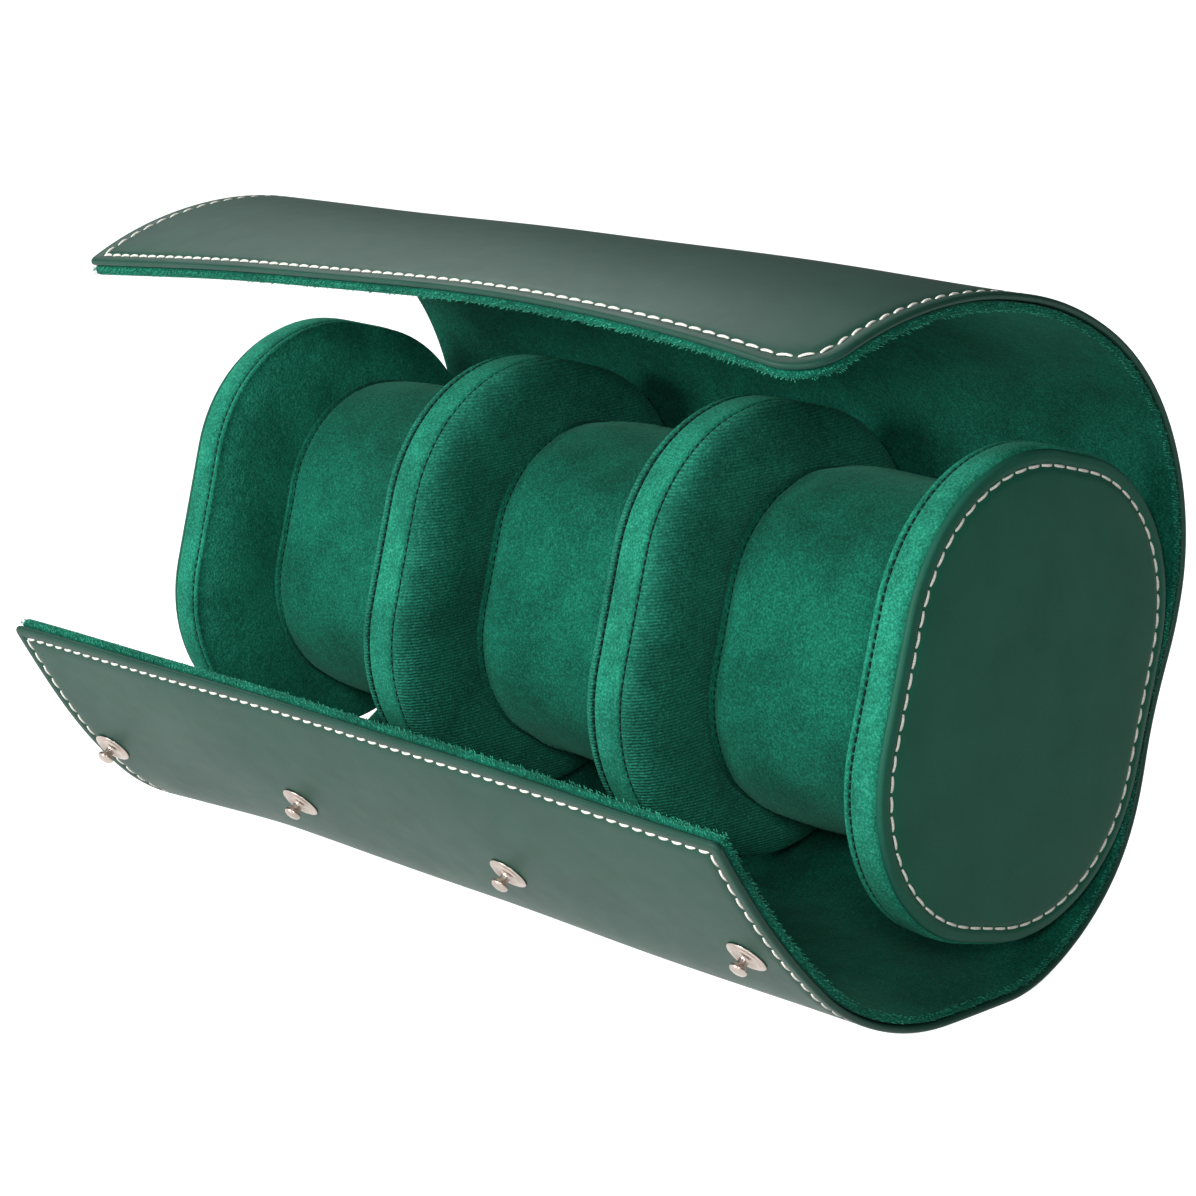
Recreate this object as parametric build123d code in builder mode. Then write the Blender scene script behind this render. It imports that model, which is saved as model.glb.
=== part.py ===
from build123d import *
from math import cos, radians, sin
import os

# Travel watch case: a padded roll with three pillow bays, held in a sheet that wraps round it.
# X runs along the roll, the mouth opens towards -Y, and Z is up.
# The origin is the middle of the flat strip that the case rests on. Millimetres throughout.

# Overall sizes
case_length = 195.0
roll_width = 72.0
roll_height = 85.0
roll_corner_radius = 32.0

# The sheet: three layers, counted inwards from the outer face
leather_thickness = 1.3
board_thickness = 1.0
lining_thickness = 1.8
glue_line = 0.05
board_inset = 2.5
sheet_end_inset = 1.0
flap_corner_radius = 1.6

# The sheet's path round the roll, as lengths, radii and turns in degrees
strip_width = 22.0
heel_radius = 12.0
heel_turn = 28.1
back_radius = 53.5
back_turn = 47.2
shoulder_radius = 64.9
shoulder_turn = 6.4
crown_back_radius = 52.4
crown_back_turn = 66.7
crown_front_radius = 67.0
crown_front_turn = 20.8
top_flap_radius = 84.4
top_flap_turn = 36.6
toe_radius = 45.6
toe_turn = 45.3
lower_flap_radius = 171.6
lower_flap_turn = 13.0

# Creases that the sheet folds on
crease_gap = 0.3
seat_gap = 0.1

# End caps
panel_thickness = 2.4
panel_edge_radius = 1.4
cap_board_thickness = 1.5
cap_foam_thickness = 2.6
cap_cover_wall = 1.2
cap_crown_height = 1.8

# Dividers between the bays
divider_board_thickness = 1.6
divider_foam_thickness = 2.4
divider_band_wall = 1.2
divider_face_thickness = 1.0
divider_crown_height = 2.0
welt_lip = 0.6

# Crown of every padded face: how far in and how far up each step of its swell lies
crown_inset_shares = (0.0, 0.10, 0.36, 0.66, 1.0)
crown_height_shares = (0.0, 0.45, 0.80, 0.96, 1.0)
crown_reach = 16.0

# Watch pillows
pillow_depth = 55.0
pillow_height = 67.0
pillow_corner_radius = 25.5
pillow_side_gap = 0.4
pillow_back_gap = 0.8
pillow_sleeve_wall = 1.2
pillow_end_thickness = 1.2
pillow_end_crown = 1.0
pillow_end_reach = 9.0
pillow_draw_in = 1.4
pillow_piping = 0.5
pillow_place_shares = (0.0, 0.14, 0.5, 0.86, 1.0)
pillow_draw_shares = (1.0, 0.30, 0.0, 0.30, 1.0)

# Snap fasteners on the flaps
snap_count = 4
snap_end_inset = 8.0
stud_from_tip = 33.0
socket_from_tip = 9.0
snap_flange_radius = 3.9
snap_flange_thickness = 0.6
snap_ring_radius = 2.8
snap_ring_rise = 0.35
snap_ring_width = 0.6
stud_neck_radius = 1.3
stud_neck_height = 1.7
stud_knob_radius = 1.9
stud_knob_height = 1.5
socket_bore_radius = 2.3
socket_rim_height = 1.8
socket_wall = 0.9
shank_radius = 1.2
shank_clearance = 0.1
backplate_radius = 3.2
backplate_thickness = 0.4
cut_overrun = 1.0

# Worked-out sizes
sheet_thickness = leather_thickness + board_thickness + lining_thickness + 2 * glue_line
board_depth = leather_thickness + glue_line
lining_depth = board_depth + board_thickness + glue_line
half_length = case_length / 2
half_sheet_length = half_length - sheet_end_inset
half_sheet = sheet_thickness / 2
roll_flat = roll_height - 2 * roll_corner_radius
snap_spacing = 2 * (half_sheet_length - snap_end_inset) / (snap_count - 1)

os.makedirs("parts", exist_ok=True)


def save(piece, name):
    piece.part.label = name
    export_step(piece.part, f"parts/{name}.step")


# The sheet's path, followed in the YZ plane along its outer face


def direction(heading):
    """Unit vector in the YZ plane for a heading measured from +Y towards +Z."""
    return Vector(cos(radians(heading)), sin(radians(heading)))


def inward(heading, side):
    """Unit vector square to the path: side 1 keeps the roll on the left, side -1 on the right."""
    return direction(heading + side * 90)


def straight(length):
    return (length, 0.0)


def bend(radius, turn):
    return (radius, turn)


def end_of(start, heading, side, runs):
    """Point and heading at the end of a chain of runs."""
    point = start
    for size, turn in runs:
        if turn:
            centre = point + inward(heading, side) * size
            heading += side * turn
            point = centre - inward(heading, side) * size
        else:
            point += direction(heading) * size
    return point, heading


def trace(start, heading, side, runs, depth):
    """Draw the chain of runs at a depth below the outer face, in the current line."""
    point = start + inward(heading, side) * depth
    first = point
    for size, turn in runs:
        if turn:
            JernArc(point, direction(heading), size - depth, side * turn)
            step = [(size - depth, turn)]
        else:
            Line(point, point + direction(heading) * size)
            step = [(size, turn)]
        point, heading = end_of(point, heading, side, step)
    return first, point


def layer(path, near, far, inset=0.0, knuckle=None, tip=False):
    """One layer of the sheet, between two depths, as long as the sheet less an inset at each end.

    A knuckle rounds the layer's first end about a crease, and tip rounds its free corners."""
    start, heading, side, runs = path
    with BuildPart() as sheet_layer:
        with BuildSketch(Plane.YZ):
            with BuildLine():
                outer_first, outer_last = trace(start, heading, side, runs, near)
                inner_first, inner_last = trace(start, heading, side, runs, far)
                Line(outer_first, inner_first)
                Line(outer_last, inner_last)
            make_face()
            if knuckle:
                ahead = direction(heading)
                middle = knuckle - ahead * half_sheet / 2
                with BuildSketch(mode=Mode.PRIVATE) as outside_knuckle:
                    with Locations(middle):
                        Rectangle(half_sheet, sheet_thickness + cut_overrun, rotation=heading)
                    with Locations(knuckle):
                        Circle(half_sheet, mode=Mode.SUBTRACT)
                add(outside_knuckle.sketch, mode=Mode.SUBTRACT)
        extrude(amount=half_sheet_length - inset, both=True)
        if tip:
            last, last_heading = end_of(start, heading, side, runs)
            middle_depth = last + inward(last_heading, side) * (near + far) / 2
            flat_ends = faces().filter_by(GeomType.PLANE).filter_by(Axis.X, reverse=True)
            tip_face = flat_ends.sort_by_distance((0, middle_depth.X, middle_depth.Y))[0]
            corners = tip_face.edges().filter_by(Axis.X, reverse=True)
            fillet(corners, flap_corner_radius)
    return sheet_layer


def sheet_panel(name, path, knuckle=None, tip=False, board_cut=None, leather_cut=None, lining_cut=None):
    """The leather, board and lining of one stiff stretch of the sheet, between two creases."""
    board_path = path
    if tip:
        start, heading, side, runs = path
        size, turn = runs[-1]
        shorter = bend(size, turn * (1 - board_inset / (radians(turn) * size)))
        board_path = (start, heading, side, runs[:-1] + [shorter])
    leather = layer(path, 0.0, leather_thickness, 0.0, knuckle, tip)
    board = layer(board_path, board_depth, board_depth + board_thickness, board_inset, knuckle, tip)
    lining = layer(path, lining_depth, sheet_thickness, 0.0, knuckle, tip)
    for piece, cut in ((leather, leather_cut), (board, board_cut), (lining, lining_cut)):
        if cut:
            with piece:
                add(cut, mode=Mode.SUBTRACT)
    save(leather, f"{name}_leather")
    save(board, f"{name}_board")
    save(lining, f"{name}_lining")


def crease_after(point, heading, side):
    """Axis of a crease whose first side ends at this point: half a sheet and a gap further on."""
    return point + direction(heading) * (half_sheet + crease_gap) + inward(heading, side) * half_sheet


def past_crease(point, heading):
    """Start of the next panel's outer face: its knuckle begins half a sheet before the axis."""
    return point + direction(heading) * crease_gap


# Back chain: from the resting strip round the heel and up the back
strip_end = Vector(strip_width / 2, 0)
back_runs = [
    bend(heel_radius, heel_turn),
    bend(back_radius, back_turn),
    straight(roll_flat),
    bend(shoulder_radius, shoulder_turn),
]
lean_heading = heel_turn + back_turn
flat_start, _ = end_of(strip_end, 0.0, 1, back_runs[:2])
back_end, back_heading = end_of(strip_end, 0.0, 1, back_runs)

crown_runs = [
    straight(half_sheet),
    bend(crown_back_radius, crown_back_turn),
    bend(crown_front_radius, crown_front_turn),
]
back_crease = crease_after(back_end, back_heading, 1)
crown_start = past_crease(back_end, back_heading)
crown_end, crown_heading = end_of(crown_start, back_heading, 1, crown_runs)

top_flap_runs = [straight(half_sheet), bend(top_flap_radius, top_flap_turn)]
top_crease = crease_after(crown_end, crown_heading, 1)
top_flap_start = past_crease(crown_end, crown_heading)

# Front chain: from the resting strip up the toe and the lower flap
strip_start = Vector(-strip_width / 2, 0)
toe_runs = [straight(half_sheet), bend(toe_radius, toe_turn)]
toe_crease = crease_after(strip_start, 180.0, -1)
toe_start = past_crease(strip_start, 180.0)
toe_end, toe_heading = end_of(toe_start, 180.0, -1, toe_runs)

lower_flap_runs = [straight(half_sheet), bend(lower_flap_radius, lower_flap_turn)]
lower_crease = crease_after(toe_end, toe_heading, -1)
lower_flap_start = past_crease(toe_end, toe_heading)

# Roll centre: the roll's back flat lies against the lining of the back's straight run
roll_lean = lean_heading - 90
roll_back = flat_start + direction(lean_heading) * roll_flat / 2
roll_centre = roll_back + inward(lean_heading, 1) * (sheet_thickness + seat_gap + roll_width / 2)


# Snap places on the flaps


def flap_point(start, heading, side, radius, turn, from_tip):
    """Point and heading on a flap's outer face at a distance back from its free edge."""
    flap_runs = [straight(half_sheet), bend(radius, turn - from_tip / radians(1) / radius)]
    return end_of(start, heading, side, flap_runs)


def snap_locations(point, heading, side, depth, outward):
    """One location per snap, with its Z pointing out of (1) or into (-1) the flap's outer face."""
    centre = point + inward(heading, side) * depth
    normal = inward(heading, side) * -outward
    places = []
    for index in range(snap_count):
        x = (index - (snap_count - 1) / 2) * snap_spacing
        frame = Plane(
            origin=(x, centre.X, centre.Y), x_dir=(1, 0, 0), z_dir=(0, normal.X, normal.Y)
        )
        places.append(Location(frame))
    return places


def revolved_snap(outline):
    """One snap part turned from its half section, given as radius and height pairs."""
    with BuildPart(mode=Mode.PRIVATE) as snap:
        with BuildSketch(Plane.XZ):
            with BuildLine():
                Polyline(*outline, close=True)
            make_face()
        revolve(axis=Axis.Z)
    return snap.part


def snap_holes(places, radius, low, high):
    """Cylinders that cut one hole per snap, between two heights along the snap's axis."""
    with BuildPart(mode=Mode.PRIVATE) as holes:
        with Locations(*places):
            with Locations((0, 0, low)):
                Cylinder(radius, high - low, align=(Align.CENTER, Align.CENTER, Align.MIN))
    return holes.part


stud_point, stud_heading = flap_point(
    lower_flap_start, toe_heading, -1, lower_flap_radius, lower_flap_turn, stud_from_tip
)
socket_point, socket_heading = flap_point(
    top_flap_start, crown_heading, 1, top_flap_radius, top_flap_turn, socket_from_tip
)
# A flat flange on the hollow face of the bent lining, and a flat plate under the bent leather,
# clear the bend by its rise over their radius
flange_rise = snap_flange_radius**2 / (2 * (top_flap_radius - sheet_thickness))
plate_rise = backplate_radius**2 / (2 * (top_flap_radius - board_depth))
stud_places = snap_locations(stud_point, stud_heading, -1, 0.0, 1)
socket_places = snap_locations(
    socket_point, socket_heading, 1, sheet_thickness + flange_rise, -1
)

# A stud's shank passes the leather and the board, and its backplate lies in the board's back
stud_back = -(board_depth + board_thickness)
stud_bore = snap_holes(stud_places, shank_radius + shank_clearance, stud_back - cut_overrun, cut_overrun)
stud_pocket = snap_holes(
    stud_places,
    backplate_radius + shank_clearance,
    stud_back - glue_line,
    stud_back + backplate_thickness + shank_clearance,
)
# A socket's shank passes the lining and the board, and its backplate lies under the leather
socket_back = plate_rise - (flange_rise + lining_thickness + glue_line + board_thickness)
socket_pocket_floor = socket_back - plate_rise - glue_line
socket_bore = snap_holes(
    socket_places, shank_radius + shank_clearance, socket_pocket_floor, cut_overrun
)
socket_pocket = snap_holes(
    socket_places,
    backplate_radius + shank_clearance,
    socket_pocket_floor,
    socket_back + backplate_thickness + shank_clearance,
)

# The sheet's panels
back_path = (strip_end, 0.0, 1, back_runs)
with BuildPart() as strip_leather:
    with BuildSketch(Plane.YZ):
        with Locations((0, leather_thickness / 2)):
            Rectangle(strip_width, leather_thickness)
    extrude(amount=half_sheet_length, both=True)
with BuildPart() as strip_board:
    with BuildSketch(Plane.YZ):
        with Locations((0, board_depth + board_thickness / 2)):
            Rectangle(strip_width, board_thickness)
    extrude(amount=half_sheet_length - board_inset, both=True)
with BuildPart() as strip_lining:
    with BuildSketch(Plane.YZ):
        with Locations((0, lining_depth + lining_thickness / 2)):
            Rectangle(strip_width, lining_thickness)
    extrude(amount=half_sheet_length, both=True)
with layer(back_path, 0.0, leather_thickness) as back_leather:
    add(strip_leather.part)
save(back_leather, "back_leather")
with layer(back_path, board_depth, board_depth + board_thickness, board_inset) as back_board:
    add(strip_board.part)
save(back_board, "back_board")
with layer(back_path, lining_depth, sheet_thickness) as back_lining:
    add(strip_lining.part)
save(back_lining, "back_lining")

sheet_panel("crown", (crown_start, back_heading, 1, crown_runs), back_crease)
sheet_panel(
    "top_flap",
    (top_flap_start, crown_heading, 1, top_flap_runs),
    top_crease,
    True,
    board_cut=socket_bore + socket_pocket,
    lining_cut=socket_bore,
)
sheet_panel("toe", (toe_start, 180.0, -1, toe_runs), toe_crease)
sheet_panel(
    "lower_flap",
    (lower_flap_start, toe_heading, -1, lower_flap_runs),
    lower_crease,
    True,
    board_cut=stud_bore + stud_pocket,
    leather_cut=stud_bore,
)

# Snaps: studs outside the lower flap, sockets inside the top flap
ring_inner = snap_ring_radius - snap_ring_width / 2
ring_outer = snap_ring_radius + snap_ring_width / 2
ring_top = snap_flange_thickness + snap_ring_rise
knob_base = snap_flange_thickness + stud_neck_height
knob_top = knob_base + stud_knob_height
with BuildPart() as stud:
    with BuildSketch(Plane.XZ):
        with BuildLine():
            Polyline(
                (0, stud_back),
                (shank_radius, stud_back),
                (shank_radius, 0),
                (snap_flange_radius, 0),
                (snap_flange_radius, snap_flange_thickness),
                (ring_outer, snap_flange_thickness),
                (ring_outer, ring_top),
                (ring_inner, ring_top),
                (ring_inner, snap_flange_thickness),
                (stud_neck_radius, snap_flange_thickness),
                (stud_neck_radius, knob_base),
            )
            Spline(
                (stud_neck_radius, knob_base),
                (stud_knob_radius, knob_base + stud_knob_height / 2),
                (0, knob_top),
                tangents=((1, 0), (-1, 0)),
            )
            Line((0, knob_top), (0, stud_back))
        make_face()
    revolve(axis=Axis.Z)
with BuildPart() as snap_studs:
    for place in stud_places:
        add(stud.part.moved(place))
save(snap_studs, "snap_studs")

socket_mouth = socket_bore_radius + socket_wall
socket = revolved_snap(
    [
        (0, socket_back),
        (shank_radius, socket_back),
        (shank_radius, 0),
        (snap_flange_radius, 0),
        (snap_flange_radius, snap_flange_thickness),
        (socket_mouth, snap_flange_thickness),
        (socket_mouth, socket_rim_height),
        (socket_bore_radius, socket_rim_height),
        (socket_bore_radius, snap_flange_thickness / 2),
        (0, snap_flange_thickness / 2),
    ]
)
with BuildPart() as snap_sockets:
    for place in socket_places:
        add(socket.moved(place))
save(snap_sockets, "snap_sockets")


def save_backplates(name, places, height):
    """The peened washers that hold the shanks, at a height along each snap's axis."""
    with BuildPart() as washers:
        with Locations(*places):
            with Locations((0, 0, height)):
                Cylinder(
                    backplate_radius,
                    backplate_thickness,
                    align=(Align.CENTER, Align.CENTER, Align.MIN),
                )
                Cylinder(
                    shank_radius + shank_clearance / 2,
                    backplate_thickness,
                    align=(Align.CENTER, Align.CENTER, Align.MIN),
                    mode=Mode.SUBTRACT,
                )
    save(washers, name)


save_backplates("stud_backplates", stud_places, stud_back)
save_backplates("socket_backplates", socket_places, socket_back)


# The roll: its outline leans back with the sheet


def roll_plane(x, forward=1):
    """Plane across the roll at x, with its Z along +X (1) or -X (-1)."""
    along = direction(roll_lean)
    return Plane(
        origin=(x, roll_centre.X, roll_centre.Y),
        x_dir=(0, forward * along.X, forward * along.Y),
        z_dir=(forward, 0, 0),
    )


def roll_outline(inset=0.0):
    RectangleRounded(roll_width - 2 * inset, roll_height - 2 * inset, roll_corner_radius - inset)


def roll_slab(x, thickness, inset=0.0, forward=1):
    """A flat slab of the roll's outline, from x towards +X or -X, in the current part."""
    with BuildSketch(roll_plane(x, forward)) as slab:
        roll_outline(inset)
    extrude(slab.sketch, amount=thickness)


def roll_crown(x, height, inset=0.0, forward=1):
    """A padded swell on the roll's outline: its edge pulls in, and its middle is nearly flat."""
    sections = []
    for inset_share, height_share in zip(crown_inset_shares, crown_height_shares):
        place = x + forward * height * height_share
        with BuildSketch(roll_plane(place, forward), mode=Mode.PRIVATE) as section:
            roll_outline(inset + crown_reach * inset_share)
        sections.append(section.sketch)
    loft(sections)


# End caps: a velvet tub with its board and foam, closed by a leather panel
cap_thickness = panel_thickness + cap_board_thickness + cap_foam_thickness + cap_cover_wall
cap_inner = half_length - cap_thickness
cap_foam_start = cap_inner + cap_cover_wall
cap_board_start = cap_foam_start + cap_foam_thickness
panel_start = half_length - panel_thickness

with BuildPart() as cap_panel:
    roll_slab(panel_start + glue_line, panel_thickness - glue_line)
    fillet(cap_panel.faces().sort_by(Axis.X)[-1].edges(), panel_edge_radius)
with BuildPart() as cap_board:
    roll_slab(cap_board_start, cap_board_thickness, cap_cover_wall)
with BuildPart() as cap_foam:
    roll_slab(cap_foam_start, cap_foam_thickness, cap_cover_wall)
with BuildPart() as cap_cover:
    roll_slab(cap_inner, cap_thickness - panel_thickness)
    with BuildSketch(roll_plane(cap_foam_start)) as tub:
        roll_outline(cap_cover_wall)
    extrude(tub.sketch, amount=cap_thickness, mode=Mode.SUBTRACT)
    roll_crown(cap_inner, cap_crown_height, 0.0, -1)

for end_name, mirrored in (("near", False), ("far", True)):
    cap_pieces = (
        (cap_panel, "panel"),
        (cap_board, "board"),
        (cap_foam, "foam"),
        (cap_cover, "cover"),
    )
    for piece, kind in cap_pieces:
        with BuildPart() as end_piece:
            if mirrored:
                mirror(piece.part, about=Plane.YZ)
            else:
                add(piece.part)
        save(end_piece, f"{end_name}_cap_{kind}")

# Dividers: board core, foam each side, rim band between two crowned covers with welted lips
divider_half_band = divider_board_thickness / 2 + divider_foam_thickness
divider_half = divider_half_band + divider_face_thickness + divider_crown_height
divider_place = (cap_inner - cap_crown_height + divider_half) / 3
divider_wall_inset = welt_lip + divider_band_wall

for divider_name, x in (("divider_far", -divider_place), ("divider_near", divider_place)):
    with BuildPart() as divider_board:
        roll_slab(x - divider_board_thickness / 2, divider_board_thickness, divider_wall_inset)
    save(divider_board, f"{divider_name}_board")
    with BuildPart() as divider_band:
        roll_slab(x - divider_half_band, 2 * divider_half_band, welt_lip)
        with BuildSketch(roll_plane(x - divider_half_band)) as band_bore:
            roll_outline(divider_wall_inset)
        extrude(band_bore.sketch, amount=2 * divider_half_band, mode=Mode.SUBTRACT)
    save(divider_band, f"{divider_name}_rim_band")
    for side_name, way in (("far", -1), ("near", 1)):
        with BuildPart() as divider_foam:
            roll_slab(
                x + way * divider_board_thickness / 2, divider_foam_thickness, divider_wall_inset, way
            )
        save(divider_foam, f"{divider_name}_foam_{side_name}")
        with BuildPart() as divider_face:
            roll_slab(x + way * divider_half_band, divider_face_thickness, 0.0, way)
            roll_crown(
                x + way * (divider_half_band + divider_face_thickness), divider_crown_height, 0.0, way
            )
        save(divider_face, f"{divider_name}_face_{side_name}")

# Pillows: foam core in a velvet sleeve with a crowned, piped disc at each end
bay_width = 2 * (divider_place - divider_half)
pillow_length = bay_width - 2 * pillow_side_gap
sleeve_length = pillow_length - 2 * (pillow_end_thickness + pillow_end_crown)
pillow_shift = (roll_width - pillow_depth) / 2 + seat_gap - pillow_back_gap


def pillow_plane(x, forward=1):
    """Plane across a pillow at x. The pillow sits back in its bay, near the lining."""
    across = roll_plane(x, forward)
    origin = across.from_local_coords((forward * pillow_shift, 0, 0))
    return Plane(origin=origin, x_dir=across.x_dir, z_dir=across.z_dir)


def pillow_outline(inset=0.0):
    RectangleRounded(
        pillow_depth - 2 * inset, pillow_height - 2 * inset, pillow_corner_radius - inset
    )


for pillow_name, place in (("far", -1), ("middle", 0), ("near", 1)):
    x = place * (2 * divider_place)
    sleeve_start = x - sleeve_length / 2
    bore_inset = pillow_draw_in + pillow_sleeve_wall
    with BuildPart() as pillow_core:
        with BuildSketch(pillow_plane(sleeve_start)) as core_outline:
            pillow_outline(bore_inset)
        extrude(core_outline.sketch, amount=sleeve_length)
    save(pillow_core, f"pillow_{pillow_name}_core")
    with BuildPart() as pillow_sleeve:
        rings = []
        for place_share, draw_share in zip(pillow_place_shares, pillow_draw_shares):
            ring_plane = pillow_plane(sleeve_start + sleeve_length * place_share)
            with BuildSketch(ring_plane, mode=Mode.PRIVATE) as ring:
                pillow_outline(pillow_draw_in * draw_share)
            rings.append(ring.sketch)
        loft(rings)
        with BuildSketch(pillow_plane(sleeve_start - cut_overrun)) as sleeve_bore:
            pillow_outline(bore_inset)
        extrude(
            sleeve_bore.sketch, amount=sleeve_length + 2 * cut_overrun, mode=Mode.SUBTRACT
        )
    save(pillow_sleeve, f"pillow_{pillow_name}_sleeve")
    with BuildPart() as pillow_ends:
        for way in (-1, 1):
            end_x = x + way * sleeve_length / 2
            with BuildSketch(pillow_plane(end_x, way)) as end_disc:
                pillow_outline(pillow_draw_in - pillow_piping)
            extrude(end_disc.sketch, amount=pillow_end_thickness)
            swell = []
            for inset_share, height_share in zip(crown_inset_shares, crown_height_shares):
                lift = pillow_end_thickness + pillow_end_crown * height_share
                with BuildSketch(pillow_plane(end_x + way * lift, way), mode=Mode.PRIVATE) as rise:
                    pillow_outline(pillow_draw_in + pillow_end_reach * inset_share)
                swell.append(rise.sketch)
            loft(swell)
    save(pillow_ends, f"pillow_{pillow_name}_ends")

print("sheet thickness", round(sheet_thickness, 3))
print("roll centre y, z", round(roll_centre.X, 3), round(roll_centre.Y, 3), "lean", round(roll_lean, 2))
for crease_name, crease in (
    ("back", back_crease), ("top", top_crease), ("toe", toe_crease), ("lower", lower_crease)
):
    print("crease", crease_name, "y, z", round(crease.X, 3), round(crease.Y, 3))
print("divider place", round(divider_place, 3), "bay", round(bay_width, 3), "cap inner", cap_inner)
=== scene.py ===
import math
import random

import bmesh
import bpy
import numpy as np
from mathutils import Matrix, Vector, noise


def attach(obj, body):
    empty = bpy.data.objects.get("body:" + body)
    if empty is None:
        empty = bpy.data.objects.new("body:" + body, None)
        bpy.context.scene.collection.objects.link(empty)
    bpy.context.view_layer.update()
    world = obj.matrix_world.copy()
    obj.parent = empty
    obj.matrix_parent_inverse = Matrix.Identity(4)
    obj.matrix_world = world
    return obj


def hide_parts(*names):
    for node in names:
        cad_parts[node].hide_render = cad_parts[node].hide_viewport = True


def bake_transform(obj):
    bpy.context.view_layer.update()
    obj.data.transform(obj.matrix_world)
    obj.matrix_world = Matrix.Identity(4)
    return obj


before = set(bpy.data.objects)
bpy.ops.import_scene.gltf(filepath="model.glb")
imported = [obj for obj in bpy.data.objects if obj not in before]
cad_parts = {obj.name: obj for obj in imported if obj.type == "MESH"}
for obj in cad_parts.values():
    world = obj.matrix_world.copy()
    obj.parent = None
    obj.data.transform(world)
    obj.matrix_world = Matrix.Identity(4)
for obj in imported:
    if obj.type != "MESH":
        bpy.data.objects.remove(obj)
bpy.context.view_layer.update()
random.seed(7)

# Sizes shared with the CAD, in metres
MM = 0.001
case_length = 195 * MM
half_length = case_length / 2
sheet_thickness = 4.2 * MM
half_sheet = sheet_thickness / 2
crease_gap = 0.3 * MM
corner_radius = 1.6 * MM
strip_width = 22 * MM
roll_width = 72 * MM
roll_height = 85 * MM
roll_corner = 32 * MM
roll_seat = 0.1 * MM
divider_place = 31.4 * MM
bay_pitch = 62.8 * MM

# The soft sheet reaches further along X than the CAD's, and its near corner on the top flap is rounder
sheet_reach = 97.2 * MM
top_near_radius = 9.5 * MM

# The sheet's path from the middle of the resting strip, as lengths and turns in degrees:
# up the back and over the crown to the top flap's free edge, and up the toe to the lower flap's


def arc(radius, turn):
    return radius * math.radians(turn), turn


def straight(length):
    return length, 0.0


# The heel eases in one curve into the back, which stays where the CAD's is
crease = straight(crease_gap + half_sheet)
heel_runs = [straight(2.914 * MM), arc(30 * MM, 20.0), arc(47.717 * MM, 42.0), arc(50 * MM, 13.3)]
back_runs = heel_runs + [straight(21 * MM)]
shoulder_runs = [arc(64.9 * MM, 6.4), crease]
crown_runs = [arc(52.4 * MM, 66.7), arc(67 * MM, 20.8)]
top_flap_runs = [crease, arc(84.4 * MM, 36.6)]
toe_runs = [straight(strip_width / 2), crease, arc(45.6 * MM, 45.3)]
lower_flap_runs = [crease, arc(171.6 * MM, 13)]
up_runs = back_runs + shoulder_runs + crown_runs + top_flap_runs
front_runs = toe_runs + lower_flap_runs


def length_of(runs):
    return sum(length for length, turn in runs)


# Places along the sheet: creases, the two free edges, and where its pieces meet
back_crease = length_of(back_runs + shoulder_runs)
top_crease = length_of(back_runs + shoulder_runs + crown_runs + [crease])
toe_crease = -length_of(toe_runs[:2])
lower_crease = -length_of(toe_runs + [crease])
sheet_high = length_of(up_runs)
sheet_low = -length_of(front_runs)
meet_crown = (back_crease + top_crease) / 2
meet_heel = 5 * MM
meet_toe = (toe_crease + lower_crease) / 2


def follow(distance, runs, side):
    """Point (y, z) and heading on the outer face at each distance along a chain of runs."""
    y, z = np.zeros_like(distance), np.zeros_like(distance)
    heading = np.full_like(distance, 0.0 if side > 0 else math.pi)
    left = distance.copy()
    for length, turn in runs:
        step = np.clip(left, 0, length)
        bend = side * math.radians(turn) * step / length
        half = bend / 2
        chord = step * np.sinc(half / math.pi)
        y += chord * np.cos(heading + half)
        z += chord * np.sin(heading + half)
        heading += bend
        left -= step
    return y, z, heading


def sheet_section(s):
    """Point on the outer face and inward normal at each place along the sheet."""
    s = np.asarray(s, float)
    y_up, z_up, heading_up = follow(np.maximum(s, 0), up_runs, 1)
    y_front, z_front, heading_front = follow(np.maximum(-s, 0), front_runs, -1)
    up = s >= 0
    y, z = np.where(up, y_up, y_front), np.where(up, z_up, z_front)
    normal = np.where(up, heading_up + math.pi / 2, heading_front - math.pi / 2)
    return y, z, np.cos(normal), np.sin(normal)


# How the soft sheet stands away from its plain bend. The top flap's free edge bows up between its
# ends and droops at them, read at shares of the way across from the far end (-1) to the near (1)
edge_shares = (-1.0, -0.86, -0.6, -0.25, 0.2, 0.62, 0.86, 1.0)
edge_lifts = [lift * MM for lift in (-2.7, -1.9, 1.3, 3.3, 5.4, 4.2, 0.8, -1.5)]
edge_curve = np.polyfit(edge_shares, edge_lifts, 5)
lower_bow = 0.8 * MM
# Slow waves: share of the height, radians a metre across and along the sheet, and phase
sheet_wave = 0.16 * MM
sheet_waves = ((1.0, 41, 23, 0.0), (0.6, 89, -61, 1.3), (0.4, 30, 130, 0.0))
# The crown sinks towards its far end and the top flap between its ends, each about a place along the
# sheet, and the near end draws in where the roll holds it
crown_sink, sink_start = 1.8 * MM, 0.3
sink_place, sink_spread = 128 * MM, 42 * MM
top_sink = 1.1 * MM
top_place, top_spread = 166 * MM, 22 * MM
draw_in = 1.6 * MM
draw_place, draw_spread = 67 * MM, 20 * MM
# The bottom flares out at the near end, and the lower flap swells outward at its far end
flare_out = 0.6 * MM
flare_spread = 26 * MM
far_swell, swell_start = 2.2 * MM, 0.6
swell_place, swell_spread = -50 * MM, 30 * MM


def bell(s, place, spread):
    return np.exp(-(((s - place) / spread) ** 2))


def flap_share(s, start, end):
    return np.clip((s - start) / (end - start), 0, 1) ** 2


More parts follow.
